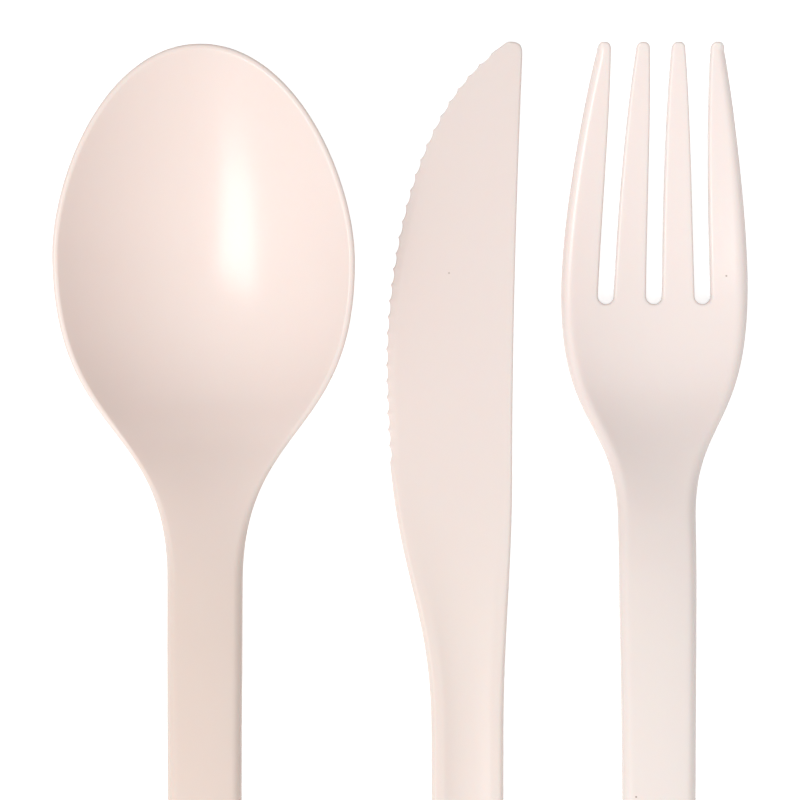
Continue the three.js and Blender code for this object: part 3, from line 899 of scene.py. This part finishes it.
def slot_side(tip, mouth, swell, root, lean, centre):
    """One side of a tine that faces a slot, from the tip to the deepest point of the slot."""
    lead, trail = SLOT_REACH
    side = cubic(
        (TINE_TIP_ROUND, mouth),
        (TINE_TIP_ROUND + lead, mouth + swell),
        (root_centre - trail, root - lean),
        (root_centre, root),
    )
    turn = rounded_root(centre, np.sign(root - centre))
    return chain(even(rounded_tip(tip, mouth), TIP_ROWS), even(side, SIDE_ROWS), even(turn, ROOT_ROWS))


def tine_edge(points, side, in_root=True):
    """An edge with its normals, which point down the tine at its tip and deep in a root."""
    normals = inward(points, side)
    normals[0] = (1, 0)
    if in_root:
        normals[-1] = (1, 0)
    return points, normals


def slot_insets(radius):
    return radius[:, None] * EDGE_STEPS[None]


def outer_insets(radius, flange, spread):
    """Distances in from the outer edge: over the rounding, then past it or over the flange's foot."""
    past = radius[:, None] * (1 + (PAST_STEPS[None] - 1) * spread[:, None])
    return np.hstack([slot_insets(radius), mix(past, FORK_FLANGE_STEPS[None], flange[:, None])])


strip_rows = np.arange(TIP_ROWS + SIDE_ROWS + ROOT_ROWS + 1)
down_tine = smooth(strip_rows, TIP_ROWS, TIP_ROWS + SIDE_ROWS)
slot_radius = np.full(len(strip_rows), SLOT_RADIUS)
full_radius = mix(TINE_RADIUS, HEAD_RADIUS, down_tine)
outer_radius = mix(SLOT_RADIUS, full_radius, smooth(strip_rows, 0, TIP_BLEND_ROWS))

middle_slot = tine_edge(slot_side(inner_tip, inner_mouth, MIDDLE_SWELL, slot_half, 0, 0), -1)
near_slot = tine_edge(slot_side(inner_tip, near_mouth, NEAR_SWELL, near_root, ROOT_LEAN, slot_centre), 1)
far_slot = tine_edge(slot_side(outer_tip, far_mouth, FAR_SWELL, far_root, ROOT_LEAN, slot_centre), -1)

split = np.searchsorted(head_edge[:, 0], TINE_LENGTH + SLOT_RADIUS)
beside_tine = head_edge[:split]
root_level = np.searchsorted(beside_tine[:, 0], root_centre)
outer_side = tine_edge(
    chain(
        even(rounded_tip(outer_tip, outer_mouth), TIP_ROWS),
        even(beside_tine[: root_level + 1], SIDE_ROWS),
        even(beside_tine[root_level:], ROOT_ROWS),
    ),
    1,
    in_root=False,
)

slot_rim = (slot_insets(slot_radius), slot_radius)
outer_rim = (outer_insets(outer_radius, np.zeros_like(down_tine), down_tine), outer_radius)
inner_grid = plan((*middle_slot, *slot_rim), (*near_slot, *slot_rim), TINE_COLUMNS)
outer_grid = plan((*far_slot, *slot_rim), (*outer_side, *outer_rim), TINE_COLUMNS)
print("One tine strip has", inner_grid.shape[0], "rows")

# %% [markdown]
# The head starts on the line that joins the last rows of the tines, and keeps the same columns
# all the way down to the end of the handle. Its rows settle to straight lines after a few steps.

# %% Head, neck and handle
FORK_STEP = 0.5
SETTLE_ROWS = 12

edge_count = len(EDGE_STEPS)
inner_cut = inner_grid[-1, edge_count - 1 : -(edge_count - 1)]
outer_cut = outer_grid[-1, edge_count - 1 :]
first_row = np.vstack([inner_cut, outer_cut[1:]])
inner_columns = len(first_row) - edge_count - len(PAST_STEPS)

lower_points = spaced(np.vstack([outer_side[0][-1:], head_edge[split:]]), FORK_STEP)
lower_points[-1, 1] = 0
lower_normals = inward(lower_points, 1)
lower_normals[0], lower_normals[-1] = outer_side[1][-1], (-1, 0)
lower_station = lower_points[:, 0]
lower_radius = mix(HEAD_RADIUS, HANDLE_RADIUS, handleness(lower_station))
lower_insets = outer_insets(lower_radius, fork_flange(lower_station), np.ones_like(lower_station))
lower_rim = lower_points[:, None] + lower_normals[:, None] * lower_insets[:, ::-1, None]
inner_edge = lower_rim[:, 0]
head_share = first_row[:inner_columns, 1] / first_row[inner_columns, 1]
like_first = 1 - smooth(np.arange(len(lower_station)), 0, SETTLE_ROWS)
head_station = mix(inner_edge[:, :1], first_row[None, :inner_columns, 0], like_first[:, None])
head_middle = np.dstack([head_station, head_share[None] * inner_edge[:, 1:2]])
head_grid = np.concatenate(
    [
        block(
            head_middle, np.full(head_station.shape, FAR_INSIDE), np.zeros(len(head_station)), head_share, 0
        ),
        block(lower_rim, lower_insets[:, ::-1], lower_radius, 1, 1),
    ],
    axis=1,
)
head_grid[0, :, :2] = first_row[:, :2]

half_fork = [shell(inner_grid, True, True), shell(outer_grid, True, True), shell(head_grid, False, True)]
fork_plan, fork_rings = weld(half_fork + [mirrored(part) for part in half_fork])
fork_drop = drops(fork_plan, fork_top, fork_wall, fork_flange, fork_side)
fork_height = fork_top(fork_plan["station"], fork_plan["offset"]) - fork_drop
_, fork_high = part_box("fork")
fork_tip = (fork_high[0] - HEAD_HALF * MM, fork_high[1])
fork_mesh = as_mesh("fork", fork_plan, fork_rings, fork_height - fork_height.min(), fork_tip)
finish_piece("moulded_fork", fork_mesh, "fork")

# %% [markdown]
# ## The knife
#
# The knife lies flat. Its blade is plain, with a shallow grind above and a wider one below that
# thin it towards the cutting edge. In the handle a round trough lies between two rims. The
# outline is drawn with a plain edge first.

# %% Knife sizes
KNIFE_LENGTH = 200
KNIFE_NECK = 97
KNIFE_NECK_HALF = 5.03
KNIFE_WAIST_HALF = 4.95
KNIFE_HANDLE_START = 55
KNIFE_RADIUS = 0.7
TIP_OFFSET = 5.9
TIP_TURN = 0.4
TIP_SPINE = 7.67
TIP_SPINE_STATION = 1.9
EDGE_START = (1.7, -3.27)
EDGE_LEAD = (13.25, 11.24)
BELLY_HALF = 11.41
BELLY_STATION = 43.9
BELLY_TRAIL = 1.5
BELLY_NECK_REACH = (31.5, 21.5)
BLADE_SPINE = 6.25
BLADE_THICKNESS = 1.8
SPINE_STATION = 60
SPINE_LEAD = (20, 0.65)
SPINE_TRAIL = 20
SPINE_NECK_REACH = (14, 14)
SPINE_RADIUS = 0.3
TOOTH_PITCH = 2.25
TOOTH_COUNT = 27
TOOTH_DEPTH = 0.3
TOOTH_FLATNESS = 2.6
BLUNTING = 0.12
GRIND_WIDTH = 1.3
GRIND_DEPTH = 0.25
GRIND_RUN_IN = (3, 32)
GRIND_RUN_OUT = 8
UNDER_GRIND_WIDTH = 3.2
UNDER_GRIND_DEPTH = 0.75
RIM_HEIGHT = 0.5
RIM_WIDTH = 1.7
TROUGH_ROUNDNESS = 2.2
TROUGH_SOFTNESS = 0.2
TROUGH_END = (KNIFE_LENGTH - HANDLE_END_HALF - 2, KNIFE_LENGTH - RIM_WIDTH)

toothed = TOOTH_PITCH * TOOTH_COUNT
knife_handle = handle_edge(KNIFE_NECK, KNIFE_NECK_HALF, KNIFE_WAIST_HALF, KNIFE_LENGTH)
tip_round = cubic(
    (0, -TIP_OFFSET), (0, TIP_TURN - TIP_OFFSET), (TIP_TURN, 2 * TIP_TURN - TIP_OFFSET), EDGE_START
)
cutting_edge = chain(
    cubic(EDGE_START, EDGE_LEAD, (BELLY_STATION - BELLY_TRAIL, BELLY_HALF), (BELLY_STATION, BELLY_HALF)),
    swing((BELLY_STATION, BELLY_HALF), (KNIFE_NECK, KNIFE_NECK_HALF), *BELLY_NECK_REACH),
)
spine_edge = chain(
    cubic(
        (0, TIP_OFFSET), (0, TIP_SPINE - TIP_TURN), (TIP_TURN, TIP_SPINE), (TIP_SPINE_STATION, TIP_SPINE)
    ),
    cubic(
        (TIP_SPINE_STATION, TIP_SPINE),
        (SPINE_LEAD[0], BLADE_SPINE + SPINE_LEAD[1]),
        (SPINE_STATION - SPINE_TRAIL, BLADE_SPINE),
        (SPINE_STATION, BLADE_SPINE),
    ),
    swing((SPINE_STATION, BLADE_SPINE), (KNIFE_NECK, KNIFE_NECK_HALF), *SPINE_NECK_REACH),
    knife_handle,
)
print("The toothed stretch is", toothed, "mm along the edge")

# %% [markdown]
# The rows must meet each tooth at the same places, so the cutting edge is walked in equal parts of
# a tooth, and then in steps of about half a millimetre. Each row ends on the spine opposite.

# %% Plain knife
TOOTH_ROWS = 12
PLAIN_EDGE_ROWS = 80
KNIFE_TIP_ROWS = 16
KNIFE_STEP = 0.6
KNIFE_COLUMNS = 40
KNIFE_EDGE_STEPS = np.array([0, 0.02, 0.06, 0.12, 0.2, 0.3, 0.42, 0.56, 0.7, 0.85, 1.0])
TIP_RIM_WIDTH = 0.45
TIP_RIM_RUN = 9
BEFORE_TEETH = -1.0

cutting_length = distances(cutting_edge)[-1]
tooth_stops = np.arange(TOOTH_COUNT * TOOTH_ROWS) * TOOTH_PITCH / TOOTH_ROWS
plain_stops = np.linspace(toothed, cutting_length, PLAIN_EDGE_ROWS, endpoint=False)
stops = np.concatenate([tooth_stops, plain_stops])
tip_part = even(tip_round, KNIFE_TIP_ROWS)[:-1]
handle_part = spaced(knife_handle, KNIFE_STEP)
left_points = np.vstack([tip_part, walked(cutting_edge, stops), handle_part]) * (1, -1)
along_edge = np.concatenate(
    [np.full(len(tip_part), BEFORE_TEETH), stops, np.full(len(handle_part), cutting_length)]
)

rest_station = left_points[KNIFE_TIP_ROWS:, 0]
near_tip = spine_edge[: np.searchsorted(spine_edge[:, 0], rest_station[0]) + 1]
rest = np.column_stack([rest_station, reader(spine_edge)(rest_station)])
rest[-len(handle_part) :] = handle_part
right_points = np.vstack([even(near_tip, KNIFE_TIP_ROWS)[:-1], rest])
right_points[-1, 1] = left_points[-1, 1] = 0

left_normals, right_normals = inward(left_points, -1), inward(right_points, 1)
for normals in (left_normals, right_normals):
    normals[0], normals[-1] = (1, 0), (-1, 0)
rim_reach = mix(TIP_RIM_WIDTH, RIM_WIDTH, smooth(left_points[:, 0], 0, TIP_RIM_RUN))
rim = (rim_reach[:, None] * KNIFE_EDGE_STEPS[None], rim_reach)
knife_grid = plan((left_points, left_normals, *rim), (right_points, right_normals, *rim), KNIFE_COLUMNS)
knife_grid[:, :, FIELDS.index("along")] = along_edge[:, None]
from_edge = np.linalg.norm(knife_grid[:, :, :2] - left_points[:, None], axis=2)
middle_columns = knife_grid[:, :, FIELDS.index("side")] == 0
knife_grid[:, :, FIELDS.index("inset")][middle_columns] = from_edge[middle_columns]
knife_plan, knife_rings = weld([shell(knife_grid, True, True)])
print("Plain knife grid:", knife_grid.shape[:2])

# %% [markdown]
# The height of the top face is written across each row. The blade is level up to its grind. In
# the handle the rims are level and the face dips between them as a round trough, which rises out
# of the blade's end and runs out before the handle's end.

# %% Knife heights
def knife_heights(points):
    station, inset, side = points["station"], points["inset"], points["side"]
    handle = smooth(station, KNIFE_HANDLE_START, KNIFE_NECK)
    cutting = 1 - smooth(points["along"], toothed - GRIND_RUN_OUT / 2, toothed + GRIND_RUN_OUT / 2)
    dip = 1 - np.abs(2 * points["share"] - 1) ** TROUGH_ROUNDNESS
    dip = dip**2 / (dip + TROUGH_SOFTNESS) * (1 + TROUGH_SOFTNESS)
    raised = np.where(side == 0, 1 - dip * (1 - smooth(station, *TROUGH_END)), 1)
    near_edge = np.where(side > 0, FAR_INSIDE, inset)
    grind_depth = GRIND_DEPTH * smooth(station, *GRIND_RUN_IN)
    ground = cutting * grind_depth * (1 - np.clip(near_edge / GRIND_WIDTH, 0, 1))
    edge_round = np.where(
        side < 0, mix(KNIFE_RADIUS, BLUNTING, cutting), mix(SPINE_RADIUS, KNIFE_RADIUS, handle)
    )
    edge_round = np.minimum(edge_round, points["radius"])
    top = BLADE_THICKNESS + RIM_HEIGHT * handle * raised - ground - rounding(inset, edge_round)
    foot_round = np.where(side < 0, mix(FOOT_RADIUS, BLUNTING, cutting), FOOT_RADIUS)
    under_ground = cutting * UNDER_GRIND_DEPTH * (1 - np.clip(near_edge / UNDER_GRIND_WIDTH, 0, 1))
    foot = under_ground + rounding(inset, np.minimum(foot_round, points["radius"]))
    return mix(foot, top, points["level"])


knife_height = knife_heights(knife_plan)
print("The knife is", round(float(knife_height.max()), 2), "mm thick at its rims")

# %% [markdown]
# The teeth are pressed into the plain edge by a Geometry Nodes tree. Each point knows how far
# along the edge it lies. Within a tooth that distance makes a shallow hollow with a flat bottom,
# deepest at the middle, and the point moves inwards by it, so that a sharp cusp stands between
# two hollows. The move fades out over the grind, so the blade stays whole.

# %% Tooth tree
TOOTH_STEPS = [
    ("tooth", "DIVIDE", "along", "Pitch"),
    ("phase", "FRACT", "tooth"),
    ("double", "MULTIPLY", "phase", 2.0),
    ("centred", "SUBTRACT", "double", 1.0),
    ("apart", "ABSOLUTE", "centred"),
    ("rise", "POWER", "apart", "Flatness"),
    ("hollow", "SUBTRACT", 1.0, "rise"),
    ("started", "GREATER_THAN", "tooth", 0.0),
    ("running", "LESS_THAN", "tooth", "Count"),
    ("toothed", "MULTIPLY", "started", "running"),
    ("faded", "DIVIDE", "inset", "Fade width"),
    ("near", "SUBTRACT", 1.0, "faded"),
    ("kept near", "MAXIMUM", "near", 0.0),
    ("deep", "MULTIPLY", "hollow", "Depth"),
    ("pushed", "MULTIPLY", "deep", "toothed"),
    ("push", "MULTIPLY", "pushed", "kept near"),
]

teeth, tooth_terms = rule_tree(
    "cut_teeth",
    ("Pitch", "Depth", "Flatness", "Count", "Fade width"),
    {"along": "FLOAT", "inset": "FLOAT", "inwards": "FLOAT_VECTOR"},
    TOOTH_STEPS,
)
push = {0: tooth_terms["inwards"], "Scale": tooth_terms["push"]}
pushed_in = add(teeth, "ShaderNodeVectorMath", push, operation="SCALE")
end_tree(teeth, tooth_terms, pushed_in.outputs[0])
print("The tooth tree has", len(teeth.nodes), "nodes")

# %% [markdown]
# The knife's place comes from its packed box: the belly of the blade is the box's left side. Each
# point also carries the direction into the blade, square to the edge at its row.

# %% Cut the teeth
knife_low, knife_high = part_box("knife")
knife_tip = (knife_low[0] + BELLY_HALF * MM, knife_high[1])
knife_blank = as_mesh("knife_blank", knife_plan, knife_rings, knife_height, knife_tip)
on_left = knife_plan["side"] <= 0
row = np.searchsorted(stops, np.clip(knife_plan["along"], 0, cutting_length - 1e-6))
row = np.clip(row + KNIFE_TIP_ROWS, 0, len(left_normals) - 1)
inwards = left_normals[row] * on_left[:, None]
store(knife_blank, "along", knife_plan["along"] * MM)
store(knife_blank, "inset", np.where(on_left, knife_plan["inset"], FAR_INSIDE) * MM)
direction = knife_blank.attributes.new("inwards", "FLOAT_VECTOR", "POINT")
direction.data.foreach_set(
    "vector", np.column_stack([inwards[:, 1], -inwards[:, 0], np.zeros(len(inwards))]).ravel()
)
knife_mesh = pressed(
    knife_blank,
    teeth,
    {
        "Pitch": TOOTH_PITCH * MM,
        "Depth": TOOTH_DEPTH * MM,
        "Flatness": TOOTH_FLATNESS,
        "Count": float(TOOTH_COUNT),
        "Fade width": GRIND_WIDTH * MM,
    },
)
finish_piece("moulded_knife", knife_mesh, "knife")

# %% [markdown]
# ## Studio
#
# The table is a plain pale sheet that the camera sees as white, with the pieces' own shadow still
# on it. The room is brightest overhead, and a little brighter on the left and on the handles'
# side, which shades the walls of the bowl and the dish of the fork. One soft box hangs level at
# the left, beyond the handles. It gives the streak in the bowl and the light lines along edges.

# %% Table
TABLE_SIZE = 3.0
PAPER = "DEDEDE"
PAPER_GLOW = 0.7
WHITE = (1, 1, 1, 1)


def looked_at(tree):
    """1 for rays from the camera, straight or by way of a reflection or through glass, and 0 for others."""
    ray = add(tree, "ShaderNodeLightPath").outputs
    seen = ray["Is Camera Ray"]
    for kind in ("Is Glossy Ray", "Is Transmission Ray"):
        seen = add(tree, "ShaderNodeMath", {0: seen, 1: ray[kind]}, operation="MAXIMUM").outputs[0]
    return seen


bpy.ops.mesh.primitive_plane_add(size=TABLE_SIZE, location=(0, 0, 0))
table = bpy.context.object
table.name = "table"
paper = bpy.data.materials.new("white_paper")
paper.use_nodes = True
sheet = paper.node_tree
sheet.nodes.clear()
shadowed = add(sheet, "ShaderNodeBsdfDiffuse", {"Color": linear(PAPER)}).outputs[0]
glow = add(sheet, "ShaderNodeEmission", {"Color": WHITE, "Strength": PAPER_GLOW}).outputs[0]
lifted = add(sheet, "ShaderNodeAddShader", {0: shadowed, 1: glow}).outputs[0]
shown = add(sheet, "ShaderNodeMixShader", {0: looked_at(sheet), 1: shadowed, 2: lifted}).outputs[0]
add(sheet, "ShaderNodeOutputMaterial", {"Surface": shown})
table.data.materials.append(paper)
print("The table is", TABLE_SIZE, "m square")

# %% [markdown]
# The room lights the pieces by direction, and to the camera it is plain white, so that a low view
# has the same white behind the table.

# %% Light
ROOM_LEVEL = 0.092
ROOM_SLANT = (-0.1, -0.24, 0.87)
ROOM_DARKEST = 0.02
SOFT_BOX_PLACE = (-0.66, -0.95, 1.0)
SOFT_BOX_SIZE = (0.6, 1.45)
SOFT_BOX_TURN = -0.2
SOFT_BOX_WATTS = 13

world = bpy.data.worlds.new("pale_room")
bpy.context.scene.world = world
world.use_nodes = True
room = world.node_tree
room.nodes.clear()
outwards = add(room, "ShaderNodeTexCoord").outputs["Generated"]
slant = add(room, "ShaderNodeVectorMath", {0: outwards, 1: ROOM_SLANT}, operation="DOT_PRODUCT")
lit = add(room, "ShaderNodeMath", {0: slant.outputs["Value"], 1: ROOM_LEVEL}, operation="ADD").outputs[0]
lit = add(room, "ShaderNodeMath", {0: lit, 1: ROOM_DARKEST}, operation="MAXIMUM").outputs[0]
strength = add(room, "ShaderNodeMix", {0: looked_at(room), 2: lit, 3: 1.0}, data_type="FLOAT").outputs[0]
backdrop = add(room, "ShaderNodeBackground", {"Color": WHITE, "Strength": strength}).outputs[0]
add(room, "ShaderNodeOutputWorld", {"Surface": backdrop})

lamp = bpy.data.lights.new("soft_box", "AREA")
lamp.shape = "RECTANGLE"
lamp.size, lamp.size_y = SOFT_BOX_SIZE
lamp.energy = SOFT_BOX_WATTS
soft_box = bpy.data.objects.new("soft_box", lamp)
soft_box.location = SOFT_BOX_PLACE
soft_box.rotation_euler = (0, 0, SOFT_BOX_TURN)
bpy.context.scene.collection.objects.link(soft_box)
print("Room light level", ROOM_LEVEL, "and a soft box of", SOFT_BOX_WATTS, "W")

# %% [markdown]
# The camera looks straight down from half a metre. Its lens makes one pixel of the picture
# 0.14 mm on the table, which is the scale that the sizes of the pieces were read at.

# %% Camera
CAMERA_HEIGHT = 0.5
MM_PER_PIXEL = 0.14
PICTURE_PIXELS = 800
PICTURE_CENTRE = (-0.00041, 0.04997)
SENSOR_MM = 36
eye = bpy.data.cameras.new("camera")
eye.sensor_width = SENSOR_MM
eye.lens = SENSOR_MM * CAMERA_HEIGHT / (MM_PER_PIXEL * MM * PICTURE_PIXELS)
camera = bpy.data.objects.new("camera", eye)
camera.location = (*PICTURE_CENTRE, CAMERA_HEIGHT)
bpy.context.scene.collection.objects.link(camera)
bpy.context.scene.camera = camera
bpy.context.scene.view_settings.view_transform = "Standard"
print("Lens", round(eye.lens, 1), "mm, seen from", CAMERA_HEIGHT, "m")
